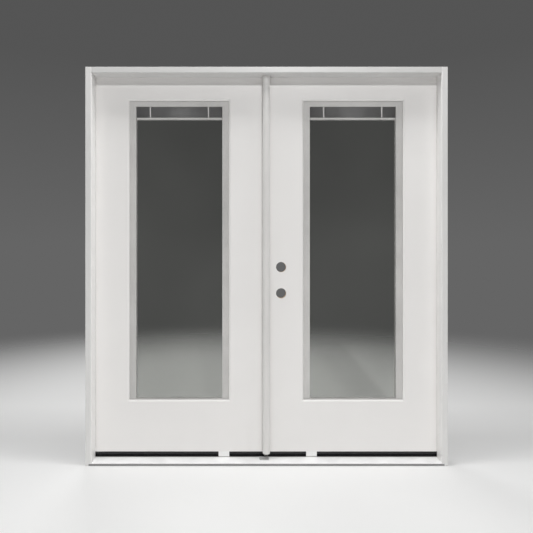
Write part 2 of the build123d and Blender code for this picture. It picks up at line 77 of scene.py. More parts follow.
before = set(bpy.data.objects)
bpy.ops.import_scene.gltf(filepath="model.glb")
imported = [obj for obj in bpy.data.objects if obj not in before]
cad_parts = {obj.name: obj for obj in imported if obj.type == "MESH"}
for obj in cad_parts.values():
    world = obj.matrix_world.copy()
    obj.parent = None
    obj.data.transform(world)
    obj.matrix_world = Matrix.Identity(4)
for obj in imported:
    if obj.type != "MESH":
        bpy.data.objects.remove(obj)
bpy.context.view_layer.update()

# The two leaves, and the side of the frame that each hangs on
LEAVES = ("passive", "active")
SIDES = ("left", "right")

# Colours of the smaller pieces
SEAL_FILM = (0.72, 0.71, 0.69)
SILL_GREY = (0.27, 0.27, 0.27)
TREAD_METAL = (0.97, 0.97, 0.97)
THRESHOLD_GREY = (0.46, 0.45, 0.43)
PAD_GREY = (0.46, 0.46, 0.46)
PALE_WOOD = (0.66, 0.50, 0.33)
CORE_FOAM = (0.80, 0.72, 0.50)
CLIP_WHITE = (0.83, 0.83, 0.82)
BOLT_STEEL = (0.62, 0.62, 0.61)
OUTER_GLASS = (0.985, 0.982, 0.978)
TAPE_WHITE = (0.80, 0.80, 0.79)
BLIND_RAIL_WHITE = (0.74, 0.74, 0.73)
HANDLE_WHITE = (0.78, 0.77, 0.75)
HINGE_NICKEL = (0.66, 0.645, 0.62)
SCREW_ZINC = (0.60, 0.59, 0.57)

# The head is darker, as painted shade: it keeps these shares of the jambs' paint and primer
HEAD_PAINT_SHADE_SHARE = 0.73
HEAD_PRIMER_SHADE_SHARE = 0.88
# Depths behind the front edge between which the primer gives way to paint
PRIMER_START = 0.0002
PRIMER_END = 0.0016

# Faces that meet at more than this angle stay sharp
SHARP_ANGLE = math.radians(40)
BORE_SEGMENTS = 40
BEAD_SEGMENTS = 28
RIB_SEGMENTS = 10
RIB_RINGS = 6
SCREW_SEGMENTS = 20
TIP_STEPS = 16

# Screws of a hinge plate: reach from its front edge, and rise from its middle
SCREW_PLACES = ((0.0095, 0.039), (0.019, 0.014), (0.019, -0.014), (0.0095, -0.039))
# Each screw's recess is turned on from the one before
SCREW_TURN = math.radians(31)
# Outline of a hinge tip, in shares of its radius: outwards, and up
TIP_OUTLINE = (
    (0, 0),
    (1, 0),
    (1, 0.28),
    (0.88, 0.5),
    (0.62, 0.66),
    (0.3, 0.73),
    (0, 0.75),
)

# The floor's half width, its drop below the sill, and where its fade starts and ends
FLOOR_REACH = 7.0
FLOOR_DROP = 0.0005
FADE_START = 2.0
FADE_END = 5.5
# Lamps: name, place, aim, width, height, and whether mirrors show it
LAMPS = (
    ("key", (0.8, -6.5, 5.9), (0, 0, 2.0), 0.25, 0.25, True),
    ("ceiling", (0, -0.5, 4.0), (0, -0.5, 0), 4.0, 0.6, True),
    ("low", (0, -3.4, 0.55), (0, 0, 0.7), 4.4, 1.0, False),
    ("back", (-1.5, 4.0, 3.2), (0, 0, 1.0), 2.0, 2.0, False),
)
# The camera's sensor in millimetres, and its lens shift in shares of the picture
SENSOR_WIDTH = 36.0
LENS_SHIFT = (0.0289, -0.0238)


# Settings


class DoorSizes(PropertyGroup):
    """Sizes of the pieces that are modelled here"""

    lip_run: FloatProperty(
        name="Lip run",
        description="Width of the bevelled lip round the outer pane",
        default=0.0085,
        unit="LENGTH",
    )
    lip_side: FloatProperty(
        name="Lip side lap",
        description="How far the lip covers the pane at its sides",
        default=0.01025,
        unit="LENGTH",
    )
    lip_foot: FloatProperty(
        name="Lip foot lap",
        description="How far the lip covers the pane at its foot",
        default=0.0133,
        unit="LENGTH",
    )
    lip_head: FloatProperty(
        name="Lip head lap",
        description="How far the lip covers the pane at its head",
        default=0.0104,
        unit="LENGTH",
    )
    bead_width: FloatProperty(
        name="Bead width",
        description="Depth of the round bead along the front of a sweep",
        default=0.010,
        unit="LENGTH",
    )
    bead_height: FloatProperty(
        name="Bead height",
        description="Height of the round bead along the front of a sweep",
        default=0.014,
        unit="LENGTH",
    )
    skin_gauge: FloatProperty(
        name="Skin gauge",
        description="Thickness of a leaf's skin",
        default=0.002,
        unit="LENGTH",
    )
    bore_radius: FloatProperty(
        name="Bore radius",
        description="Radius of the two lock bores",
        default=0.027,
        unit="LENGTH",
    )
    bore_backset: FloatProperty(
        name="Bore backset",
        description="Lock bores from the leaf's free edge",
        default=0.06985,
        unit="LENGTH",
    )
    knob_height: FloatProperty(
        name="Knob height",
        description="Height of the lower lock bore",
        default=0.8897,
        unit="LENGTH",
    )
    bolt_height: FloatProperty(
        name="Bolt height",
        description="Height of the upper lock bore",
        default=1.0294,
        unit="LENGTH",
    )
    slat_count: IntProperty(
        name="Slats", description="Slats in each blind", default=100, min=20, max=200
    )
    slat_crown: FloatProperty(
        name="Slat crown",
        description="Rise of a slat's middle above its edges",
        default=0.0011,
        unit="LENGTH",
    )
    slat_gauge: FloatProperty(
        name="Slat gauge",
        description="Thickness of a slat",
        default=0.00022,
        unit="LENGTH",
    )
    tape_width: FloatProperty(
        name="Tape width",
        description="Width of a ladder tape",
        default=0.0068,
        unit="LENGTH",
    )
    tape_room: FloatProperty(
        name="Tape room",
        description="Width of the slots that a ladder tape runs in",
        default=0.010,
        unit="LENGTH",
    )
    tape_gauge: FloatProperty(
        name="Tape gauge",
        description="Thickness of a ladder tape",
        default=0.0004,
        unit="LENGTH",
    )
    screw_radius: FloatProperty(
        name="Screw head radius",
        description="Radius of a hinge screw's head",
        default=0.0042,
        unit="LENGTH",
    )
    tip_radius: FloatProperty(
        name="Hinge tip radius",
        description="Radius of the button on a hinge pin's end",
        default=0.0048,
        unit="LENGTH",
    )
    hinge_height: FloatProperty(
        name="Hinge height",
        description="Height of a hinge without its tips",
        default=0.100,
        unit="LENGTH",
    )
    hinge_gap: FloatProperty(
        name="Hinge gap",
        description="Gap between the two plates of a closed hinge",
        default=0.003,
        unit="LENGTH",
    )
    pin_stand: FloatProperty(
        name="Pin stand",
        description="Length of a hinge pin past its knuckles",
        default=0.002,
        unit="LENGTH",
    )
    rib_count: IntProperty(
        name="Grip ribs",
        description="Ribs on a blind's handle",
        default=5,
        min=3,
        max=9,
    )
    rib_length: FloatProperty(
        name="Rib length",
        description="Length of a rib on a blind's handle",
        default=0.0095,
        unit="LENGTH",
    )
    rib_pitch: FloatProperty(
        name="Rib pitch",
        description="Distance from one rib to the next",
        default=0.00252,
        unit="LENGTH",
    )
    rib_radius: FloatProperty(
        name="Rib radius",
        description="Radius of a rib on a blind's handle",
        default=0.0007,
        unit="LENGTH",
    )


class DoorColours(PropertyGroup):
    """Colours of the finishes"""

    # Lighter than the door paint: white paint with painted light, for the light the reveals catch inside the
    # opening
    frame_paint: FloatVectorProperty(
        name="Frame paint",
        description="White paint inside the opening",
        subtype="COLOR",
        default=(0.92, 0.91, 0.90),
    )
    frame_primer: FloatVectorProperty(
        name="Frame primer",
        description="Duller primer on the front edges of the frame",
        subtype="COLOR",
        default=(0.71, 0.705, 0.695),
    )
    door_paint: FloatVectorProperty(
        name="Door paint",
        description="White skins of the leaves",
        subtype="COLOR",
        default=(0.80, 0.785, 0.77),
    )
    astragal_paint: FloatVectorProperty(
        name="Astragal paint",
        description="White astragal between the leaves",
        subtype="COLOR",
        default=(0.69, 0.68, 0.665),
    )
    track_grey: FloatVectorProperty(
        name="Track grey",
        description="Tracks and rails between the panes",
        subtype="COLOR",
        default=(0.70, 0.695, 0.685),
    )
    slat_grey: FloatVectorProperty(
        name="Slat grey",
        description="Slats of the blinds",
        subtype="COLOR",
        default=(0.385, 0.385, 0.39),
    )
    glass_tint: FloatVectorProperty(
        name="Glass tint",
        description="Colour that the inner pane lets through",
        subtype="COLOR",
        default=(0.78, 0.79, 0.775),
    )
    sweep_black: FloatVectorProperty(
        name="Sweep black",
        description="Vinyl sweep under the leaves",
        subtype="COLOR",
        default=(0.008, 0.008, 0.009),
    )
    floor: FloatVectorProperty(
        name="Floor",
        description="Pale studio floor",
        subtype="COLOR",
        default=(0.90, 0.90, 0.895),
    )


class DoorStage(PropertyGroup):
    """Light and camera of the stage"""

    key_power: FloatProperty(
        name="Key power",
        description="Power of the high key lamp",
        default=205.0,
        unit="POWER",
    )
    ceiling_power: FloatProperty(
        name="Ceiling power",
        description="Power of the soft box over the doorstep",
        default=93.0,
        unit="POWER",
    )
    low_power: FloatProperty(
        name="Low power",
        description="Power of the low soft box in front",
        default=37.0,
        unit="POWER",
    )
    back_power: FloatProperty(
        name="Back power",
        description="Power of the soft box behind the doors",
        default=60.0,
        unit="POWER",
    )
    fill_strength: FloatProperty(
        name="Fill",
        description="Strength of the light from behind the doors",
        default=0.3,
    )
    lens: FloatProperty(
        name="Lens", description="Focal length in millimetres", default=33.87
    )
    camera_place: FloatVectorProperty(
        name="Camera place",
        description="Where the camera stands",
        subtype="TRANSLATION",
        default=(-0.08, -2.658, 1.10),
    )


def sizes():
    return bpy.context.scene.door_sizes


def colours():
    return bpy.context.scene.door_colours


# Node helpers


class Finish:
    """One procedural material, with short ways to add its nodes"""

    def __init__(self, name, roughness=0.5, metallic=0.0, specular=0.5):
        self.material = bpy.data.materials.new(name)
        self.material.use_nodes = True
        self.tree = self.material.node_tree
        self.shader = self.tree.nodes["Principled BSDF"]
        self.set("Roughness", roughness)
        self.set("Metallic", metallic)
        self.set("Specular IOR Level", specular)
        coordinates = self.node("ShaderNodeTexCoord")
        self.place = coordinates.outputs["Object"]

    def node(self, kind, **values):
        made = self.tree.nodes.new(kind)
        for key, value in values.items():
            setattr(made, key, value)
        return made

    def link(self, out, into):
        self.tree.links.new(out, into)

    def set(self, socket, value):
        self.shader.inputs[socket].default_value = value

    def stretched(self, scale):
        """Object coordinates scaled along each axis"""
        mapping = self.node("ShaderNodeMapping")
        mapping.inputs["Scale"].default_value = scale
        self.link(self.place, mapping.inputs["Vector"])
        return mapping.outputs["Vector"]

    def noise(self, scale, detail=3.0, rough=0.55, stretch=(1, 1, 1)):
        made = self.node("ShaderNodeTexNoise")
        made.inputs["Scale"].default_value = scale
        made.inputs["Detail"].default_value = detail
        made.inputs["Roughness"].default_value = rough
        self.link(self.stretched(stretch), made.inputs["Vector"])
        return made.outputs["Fac"]

    def along(self, axis):
        """Place along one axis of the object, in metres"""
        split = self.node("ShaderNodeSeparateXYZ")
        self.link(self.place, split.inputs["Vector"])
        return split.outputs[axis]

    def cells(self, scale, stretch=(1, 1, 1)):
        made = self.node("ShaderNodeTexVoronoi")
        made.inputs["Scale"].default_value = scale
        self.link(self.stretched(stretch), made.inputs["Vector"])
        return made.outputs["Distance"]

    def lines(self, scale, axis):
        made = self.node("ShaderNodeTexWave", bands_direction=axis)
        made.inputs["Scale"].default_value = scale
        self.link(self.place, made.inputs["Vector"])
        return made.outputs["Fac"]

    def ramp(self, factor, low, high, start=0.3, end=0.7):
        """A colour that goes from low to high with the factor"""
        made = self.node("ShaderNodeValToRGB")
        first, last = made.color_ramp.elements
        first.position, last.position = start, end
        first.color, last.color = (*low, 1.0), (*high, 1.0)
        self.link(factor, made.inputs["Fac"])
        return made.outputs["Color"]

    def spread(self, factor, low, high, start=0.3, end=0.7):
        """A number that goes from low to high with the factor"""
        made = self.node("ShaderNodeMapRange")
        names = ("From Min", "From Max", "To Min", "To Max")
        for key, value in zip(names, (start, end, low, high)):
            made.inputs[key].default_value = value
        self.link(factor, made.inputs["Value"])
        return made.outputs["Result"]

    def blend(self, factor, first, second, kind="MIX"):
        made = self.node("ShaderNodeMix", data_type="RGBA", blend_type=kind)
        ends = [s for s in made.inputs if s.type == "RGBA"]
        share = next(s for s in made.inputs if s.name == "Factor" and s.type == "VALUE")
        if isinstance(factor, float):
            share.default_value = factor
        else:
            self.link(factor, share)
        self.link(first, ends[0])
        self.link(second, ends[1])
        return next(s for s in made.outputs if s.type == "RGBA")

    def colour(self, out):
        self.link(out, self.shader.inputs["Base Color"])

    def rough(self, out):
        self.link(out, self.shader.inputs["Roughness"])

    def bump(self, height, distance, strength):
        made = self.node("ShaderNodeBump")
        made.inputs["Distance"].default_value = distance
        made.inputs["Strength"].default_value = strength
        self.link(height, made.inputs["Height"])
        self.link(made.outputs["Normal"], self.shader.inputs["Normal"])


def shade(colour, share):
    return tuple(min(1.0, channel * share) for channel in colour)


# Finishes


def painted_board(name, colour, along, edge=None, edge_y=0.0):
    """Satin paint over wood: brush lines along the board and a duller front edge"""
    made = Finish(name, specular=0.6)
    stretch = [60.0, 60.0, 60.0]
    stretch["XYZ".index(along)] = 1.6
    brush = made.noise(9.0, detail=4.0, rough=0.6, stretch=stretch)
    cloud = made.noise(2.2, detail=3.0)
    base = made.ramp(cloud, shade(colour, 0.965), shade(colour, 1.02))
    if edge is not None:
        dull = made.ramp(cloud, shade(edge, 0.97), shade(edge, 1.02))
        start, end = edge_y + PRIMER_START, edge_y + PRIMER_END
        depth = made.spread(made.along("Y"), low=0.0, high=1.0, start=start, end=end)
        base = made.blend(depth, dull, base)
    lines = made.ramp(brush, (0.965, 0.965, 0.96), (1.0, 1.0, 1.0), start=0.35, end=0.6)
    made.colour(made.blend(1.0, base, lines, "MULTIPLY"))
    made.rough(made.spread(brush, low=0.26, high=0.38))
    made.bump(brush, distance=0.00008, strength=0.5)
    return made.material


def smooth_skin(name, colour):
    """Smooth painted skin with a fine orange peel and a faint change of tone"""
    made = Finish(name, specular=0.5)
    peel = made.noise(420.0, detail=2.0, rough=0.5)
    cloud = made.noise(1.7, detail=3.0)
    made.colour(made.ramp(cloud, shade(colour, 0.975), shade(colour, 1.015)))
    made.rough(made.spread(cloud, low=0.34, high=0.44))
    made.bump(peel, distance=0.00006, strength=0.35)
    return made.material


def brushed_metal(name, colour, along, roughness=0.34, tone=0.12, metallic=0.9):
    """Metal with fine brush lines along one axis and small dull patches"""
    made = Finish(name, metallic=metallic)
    stretch = [1.0, 1.0, 1.0]
    stretch["XYZ".index(along)] = 0.02
    lines = made.noise(900.0, detail=3.0, rough=0.6, stretch=stretch)
    patch = made.noise(14.0, detail=3.0)
    base = made.ramp(lines, shade(colour, 1.0 - tone), shade(colour, 1.0 + tone))
    dull = made.ramp(patch, (0.9, 0.9, 0.9), (1.0, 1.0, 1.0))
    made.colour(made.blend(1.0, base, dull, "MULTIPLY"))
    made.rough(made.spread(lines, low=roughness - 0.06, high=roughness + 0.08))
    made.bump(lines, distance=0.00004, strength=0.5)
    return made.material


def moulded_plastic(name, colour, roughness=0.45):
    """Moulded plastic with a fine leathered grain"""
    made = Finish(name, specular=0.5)
    fine = made.noise(700.0, detail=2.0)
    cloud = made.noise(9.0, detail=3.0)
    made.colour(made.ramp(cloud, shade(colour, 0.96), shade(colour, 1.04)))
    made.rough(made.spread(fine, low=roughness - 0.06, high=roughness + 0.08))
    made.bump(fine, distance=0.00005, strength=0.5)
    return made.material


def composite(name, colour):
    """Grey composite with a speckle of darker and paler grains"""
    made = Finish(name, specular=0.35)
    speck = made.noise(520.0, detail=2.0, rough=0.7)
    cloud = made.noise(11.0, detail=3.0, rough=0.6, stretch=(0.4, 1.0, 1.0))
    base = made.ramp(cloud, shade(colour, 0.9), shade(colour, 1.08))
    dots = made.ramp(speck, (0.82, 0.82, 0.82), (1.0, 1.0, 1.0), start=0.36, end=0.5)
    made.colour(made.blend(1.0, base, dots, "MULTIPLY"))
    made.rough(made.spread(speck, low=0.55, high=0.72))
    made.bump(speck, distance=0.0001, strength=0.5)
    return made.material


def foam(name, colour, cell=650.0, roughness=0.8):
    """Soft foam with small open cells"""
    made = Finish(name, specular=0.25)
    cell_depth = made.cells(cell)
    cloud = made.noise(30.0, detail=3.0)
    base = made.ramp(cell_depth, shade(colour, 0.8), shade(colour, 1.08), start=0.05, end=0.6)
    tone = made.ramp(cloud, (0.93, 0.93, 0.93), (1.0, 1.0, 1.0))
    made.colour(made.blend(1.0, base, tone, "MULTIPLY"))
    made.set("Roughness", roughness)
    made.bump(cell_depth, distance=0.0003, strength=0.7)
    return made.material


def edge_wood(name, colour, along):
    """Sawn pale wood with grain along the piece"""
    made = Finish(name, specular=0.3)
    stretch = [38.0, 38.0, 38.0]
    stretch["XYZ".index(along)] = 1.4
    grain = made.noise(3.2, detail=6.0, rough=0.62, stretch=stretch)
    pores = made.noise(24.0, detail=3.0, rough=0.6, stretch=stretch)
    base = made.ramp(grain, shade(colour, 0.72), shade(colour, 1.12), start=0.32, end=0.66)
    dark = made.ramp(pores, (0.8, 0.76, 0.7), (1.0, 1.0, 1.0), start=0.3, end=0.48)
    made.colour(made.blend(1.0, base, dark, "MULTIPLY"))
    made.rough(made.spread(grain, low=0.6, high=0.76))
    made.bump(pores, distance=0.00015, strength=0.6)
    return made.material


def vinyl(name, colour, gloss, roughness):
    """Black extruded vinyl with die lines along its length"""
    made = Finish(name, specular=gloss)
    die = made.noise(420.0, detail=3.0, rough=0.6, stretch=(0.01, 1.0, 1.0))
    dust = made.noise(60.0, detail=4.0, rough=0.65, stretch=(0.5, 1.0, 1.0))
    made.colour(made.ramp(dust, shade(colour, 0.8), shade(colour, 1.5), start=0.4, end=0.72))
    made.rough(made.spread(die, low=roughness - 0.06, high=roughness + 0.1))
    made.bump(die, distance=0.00008, strength=0.6)
    return made.material


def woven_tape(name, colour):
    """Woven tape with a fine rib"""
    made = Finish(name, specular=0.2)
    weft = made.lines(420.0, "Z")
    cloud = made.noise(160.0, detail=2.0)
    base = made.ramp(weft, shade(colour, 0.82), shade(colour, 1.05), start=0.2, end=0.8)
    tone = made.ramp(cloud, (0.9, 0.9, 0.9), (1.0, 1.0, 1.0))
    made.colour(made.blend(1.0, base, tone, "MULTIPLY"))
    made.set("Roughness", 0.85)
    made.bump(weft, distance=0.0001, strength=0.5)
    return made.material


def satin_enamel(name, colour, along):
    """Baked enamel on thin metal, with faint rolling lines"""
    made = Finish(name, specular=0.5)
    stretch = [1.0, 1.0, 1.0]
    stretch["XYZ".index(along)] = 0.03
    roll = made.noise(500.0, detail=3.0, rough=0.6, stretch=stretch)
    cloud = made.noise(6.0, detail=3.0)
    base = made.ramp(cloud, shade(colour, 0.93), shade(colour, 1.05))
    lines = made.ramp(roll, (0.93, 0.93, 0.93), (1.0, 1.0, 1.0))
    made.colour(made.blend(1.0, base, lines, "MULTIPLY"))
    made.rough(made.spread(roll, low=0.36, high=0.48))
    made.bump(roll, distance=0.00003, strength=0.4)
    return made.material


def pane(name, tint):
    """Glass with a tint and a faint smear, which mirrors more at a slant"""
    made = Finish(name)
    made.tree.nodes.remove(made.shader)
    through = made.node("ShaderNodeBsdfTransparent")
    cloud = made.noise(1.1, detail=2.0)
    smear = made.ramp(cloud, shade(tint, 0.94), tint)
    made.link(smear, through.inputs["Color"])
    mirror = made.node("ShaderNodeBsdfGlossy")
    mirror.inputs["Roughness"].default_value = 0.03
    slant = made.node("ShaderNodeLayerWeight")
    slant.inputs["Blend"].default_value = 0.5
    power = made.node("ShaderNodeMath", operation="POWER")
    power.inputs[1].default_value = 5.0
    made.link(slant.outputs["Facing"], power.inputs[0])
    mix = made.node("ShaderNodeMixShader")
    mirrored = made.spread(power.outputs["Value"], low=0.0125, high=0.8, start=0.0, end=1.0)
    made.link(mirrored, mix.inputs["Fac"])
    made.link(through.outputs["BSDF"], mix.inputs[1])
    made.link(mirror.outputs["BSDF"], mix.inputs[2])
    output = next(n for n in made.tree.nodes if n.type == "OUTPUT_MATERIAL")
    made.link(mix.outputs["Shader"], output.inputs["Surface"])
    return made.material


# Piece helpers


def dress(node, material):
    """Gives a solid of the frame its finish"""
    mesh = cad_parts[node].data
    mesh.materials.clear()
    mesh.materials.append(material)


def new_piece(name, work, material, smooth=False):
    """Turns a finished bmesh into an object of the scene"""
    mesh = bpy.data.meshes.new(name)
    work.to_mesh(mesh)
    work.free()
    mesh.materials.append(material)
    for face in mesh.polygons:
        face.use_smooth = smooth
    if smooth:
        mesh.set_sharp_from_angle(angle=SHARP_ANGLE)
    piece = bpy.data.objects.new(name, mesh)
    bpy.context.scene.collection.objects.link(piece)
    return piece


def middle(node):
    low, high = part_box(node)
    return (low + high) / 2


def facing(axis):
    """A turn that takes +Z to the axis"""
    return Vector((0, 0, 1)).rotation_difference(Vector(axis)).to_matrix().to_4x4()


# Operators


class DOORS_OT_frame(Operator):
    """Finishes the jambs, the head and the weatherstrips"""

    bl_idname = "doors.frame"
    bl_label = "Frame"

    def execute(self, context):
        # Inside the opening the jambs get paint lighter than the doors and the front edges: painted light on
        # the reveals
        paint, primer = colours().frame_paint, colours().frame_primer
        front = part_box("head_jamb")[0].y
        upright = painted_board("jamb paint", paint, "Z", primer, front)
        # Painted shade: the head gets darker copies of the jambs' paint and primer, for the shade it sits in
        shaded_head_paint = shade(paint, HEAD_PAINT_SHADE_SHARE)
        shaded_head_primer = shade(primer, HEAD_PRIMER_SHADE_SHARE)
        across = painted_board("head paint", shaded_head_paint, "X", shaded_head_primer, front)
        seal = foam("seal film", SEAL_FILM, cell=900.0, roughness=0.6)
        for side in SIDES:
            dress(f"{side}_jamb", upright)
            dress(f"{side}_weatherstrip", seal)
        dress("head_jamb", across)
        dress("head_weatherstrip", seal)
        dress("passive_astragal_seal", seal)
        return {"FINISHED"}


class DOORS_OT_sill(Operator):
    """Finishes the sill, its tread, the threshold cap and the pad"""

    bl_idname = "doors.sill"
    bl_label = "Sill"

    def execute(self, context):
        tread = brushed_metal(
            "sill tread", TREAD_METAL, "X", roughness=0.5, tone=0.03, metallic=0.08
        )
        dress("sill_substrate", composite("sill composite", SILL_GREY))
        dress("sill_tread", tread)
        dress("threshold_cap", composite("threshold cap", THRESHOLD_GREY))
        dress("sill_pad", foam("pad foam", PAD_GREY))
        return {"FINISHED"}


class DOORS_OT_leaves(Operator):
    """Models the outer skins and finishes the rest of the leaves"""

    bl_idname = "doors.leaves"
    bl_label = "Leaves"

    def ring_solid(self, work, loops):
        """A closed band through rectangles, each given by its sides and its depth"""
        made = bmesh.ops.create_grid(work, x_segments=1, y_segments=1, size=0.5)
        upright = Matrix.Rotation(math.radians(90), 3, "X")
        bmesh.ops.rotate(work, matrix=upright, verts=made["verts"])
        bmesh.ops.delete(work, geom=list(work.faces), context="FACES_ONLY")
        first = edges = list(work.edges)
        verts, centre = made["verts"], Vector((0, 0, 0))
        for step, (left, right, bottom, top, depth) in enumerate(loops):
            if step:
                drawn = bmesh.ops.extrude_edge_only(work, edges=edges)["geom"]
                edges = [item for item in drawn if isinstance(item, bmesh.types.BMEdge)]
                verts = [item for item in drawn if isinstance(item, bmesh.types.BMVert)]
            for vert in verts:
                x = right if vert.co.x > centre.x else left
                z = top if vert.co.z > centre.z else bottom
                vert.co = (x, depth, z)
            centre = Vector(((left + right) / 2, 0, (bottom + top) / 2))
        bmesh.ops.bridge_loops(work, edges=first + edges)

    def bores(self, work, x, heights, radius, faces_y):
        """Round holes through a wall, each in a square patch of its two faces"""
        patch_share = 1.25
        patch = patch_share * radius
        cuts = [((1, 0, 0), x - patch), ((1, 0, 0), x + patch)]
        for z in heights:
            cuts += [((0, 0, 1), z - patch), ((0, 0, 1), z + patch)]
        for normal, value in cuts:
            bmesh.ops.bisect_plane(
                work,
                geom=list(work.verts) + list(work.edges) + list(work.faces),
                plane_co=Vector(normal) * value,
                plane_no=normal,
            )
        upright = Matrix.Rotation(math.radians(90), 3, "X")
        for z in heights:
            rims = []
            for depth in faces_y:
                centre = Vector((x, depth, z))
                near = min(
                    work.faces,
                    key=lambda face: (face.calc_center_median() - centre).length,
                )
                border = list(near.edges)
                bmesh.ops.delete(work, geom=[near], context="FACES_ONLY")
                ring = bmesh.ops.create_circle(
                    work, segments=BORE_SEGMENTS, radius=radius
                )["verts"]
                bmesh.ops.rotate(work, matrix=upright, verts=ring)
                bmesh.ops.translate(work, vec=centre, verts=ring)
                rim = list({edge for vert in ring for edge in vert.link_edges})
                bmesh.ops.triangle_fill(work, edges=border + rim, use_beauty=True)
                rims += rim
            bmesh.ops.bridge_loops(work, edges=rims)

    def outer_skin(self, leaf, finish):
        """The outside skin with a bevelled lip, and the active leaf's bores"""
        size = sizes()
        low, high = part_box(f"{leaf}_exterior_skin")
        pane_low, pane_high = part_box(f"{leaf}_exterior_glass")
        outline = (low.x, high.x, low.z, high.z)
        inner = (
            pane_low.x + size.lip_side,
            pane_high.x - size.lip_side,
            pane_low.z + size.lip_foot,
            pane_high.z - size.lip_head,
        )

        def grown(share):
            signs = (-1, 1, -1, 1)
            return tuple(side + sign * share for side, sign in zip(inner, signs))

        lip, wall = grown(size.lip_run), grown(size.lip_run + size.skin_gauge)
        back = low.y + size.skin_gauge
        work = bmesh.new()
        self.ring_solid(
            work,
            (
                (*outline, low.y),
                (*lip, low.y),
                (*inner, high.y),
                (*wall, high.y),
                (*wall, back),
                (*outline, back),
            ),
        )
        if leaf == "active":
            place = low.x + size.bore_backset
            heights = (size.knob_height, size.bolt_height)
            self.bores(work, place, heights, size.bore_radius, (low.y, back))
        bmesh.ops.recalc_face_normals(work, faces=work.faces)
        skin = new_piece(f"{leaf}_outer_skin", work, finish)
        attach(skin, f"{leaf}_leaf")
        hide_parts(f"{leaf}_exterior_skin")

    def sweep_bead(self, leaf, finish):
        """The round bead along the front of the sweep, in two runs beside the clip"""
        size = sizes()
        low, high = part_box(f"{leaf}_sweep")
        clip_low, clip_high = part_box(f"{leaf}_bottom_clip")
        # the runs end just short of the clip, and the bead stands proud of the sweep
        gap, lap = 0.0005, 0.0005
        place_y = low.y + size.bead_width / 2 - 2 * lap
        place_z = high.z - size.bead_height / 2 + lap
        work = bmesh.new()
        for start, end in ((low.x, clip_low.x - gap), (clip_high.x + gap, high.x)):
            made = bmesh.ops.create_cone(
                work,
                cap_ends=True,
                segments=BEAD_SEGMENTS,
                radius1=0.5,
                radius2=0.5,
                depth=1.0,
            )["verts"]
            along = Matrix.Rotation(math.radians(90), 3, "Y")
            bmesh.ops.rotate(work, matrix=along, verts=made)
            room = (end - start, size.bead_width, size.bead_height)
            bmesh.ops.scale(work, vec=room, verts=made)
            place = ((start + end) / 2, place_y, place_z)
            bmesh.ops.translate(work, vec=place, verts=made)
        bead = new_piece(f"{leaf}_sweep_bead", work, finish, True)
        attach(bead, f"{leaf}_leaf")

    def execute(self, context):
        skin = smooth_skin("door paint", colours().door_paint)
        upright = edge_wood("stile wood", PALE_WOOD, "Z")
        across = edge_wood("rail wood", PALE_WOOD, "X")
        core = foam("core foam", CORE_FOAM, cell=420.0)
        black = colours().sweep_black
        fins = vinyl("fin vinyl", black, gloss=0.12, roughness=0.6)
        bead = vinyl("bead vinyl", black, gloss=0.5, roughness=0.3)
        clip = moulded_plastic("clip plastic", CLIP_WHITE)
        for leaf in LEAVES:
            self.outer_skin(leaf, skin)
            dress(f"{leaf}_interior_skin", skin)
            for stile in ("hinge", "lock"):
                dress(f"{leaf}_{stile}_stile", upright)
            for rail in ("top", "bottom"):
                dress(f"{leaf}_{rail}_rail", across)
            dress(f"{leaf}_foam_core", core)
            dress(f"{leaf}_sweep", fins)
            self.sweep_bead(leaf, bead)
            dress(f"{leaf}_bottom_clip", clip)
        dress("active_lock_block", upright)
        return {"FINISHED"}


class DOORS_OT_astragal(Operator):
    """Finishes the astragal and its flush bolts"""

    bl_idname = "doors.astragal"
    bl_label = "Astragal"

    def execute(self, context):
        paint = painted_board("astragal paint", colours().astragal_paint, "Z")
        steel = brushed_metal("bolt steel", BOLT_STEEL, "Z", roughness=0.3)
        dress("passive_astragal", paint)
        dress("passive_astragal_cap", paint)
        for end in ("top", "bottom"):
            dress(f"passive_{end}_bolt", steel)
        return {"FINISHED"}


class DOORS_OT_glazing(Operator):
    """Finishes the panes, the tracks and the rails between them"""

    bl_idname = "doors.glazing"
    bl_label = "Glazing"

    def execute(self, context):
        outer = pane("outer glass", OUTER_GLASS)
        inner = pane("inner glass", colours().glass_tint)
        track = satin_enamel("track enamel", colours().track_grey, "Z")
        rail = satin_enamel("head rail enamel", colours().track_grey, "X")
        for leaf in LEAVES:
            dress(f"{leaf}_exterior_glass", outer)
            dress(f"{leaf}_interior_glass", inner)
            dress(f"{leaf}_side_tracks", track)
            dress(f"{leaf}_head_rail", rail)
            dress(f"{leaf}_bottom_spacer", rail)
        return {"FINISHED"}


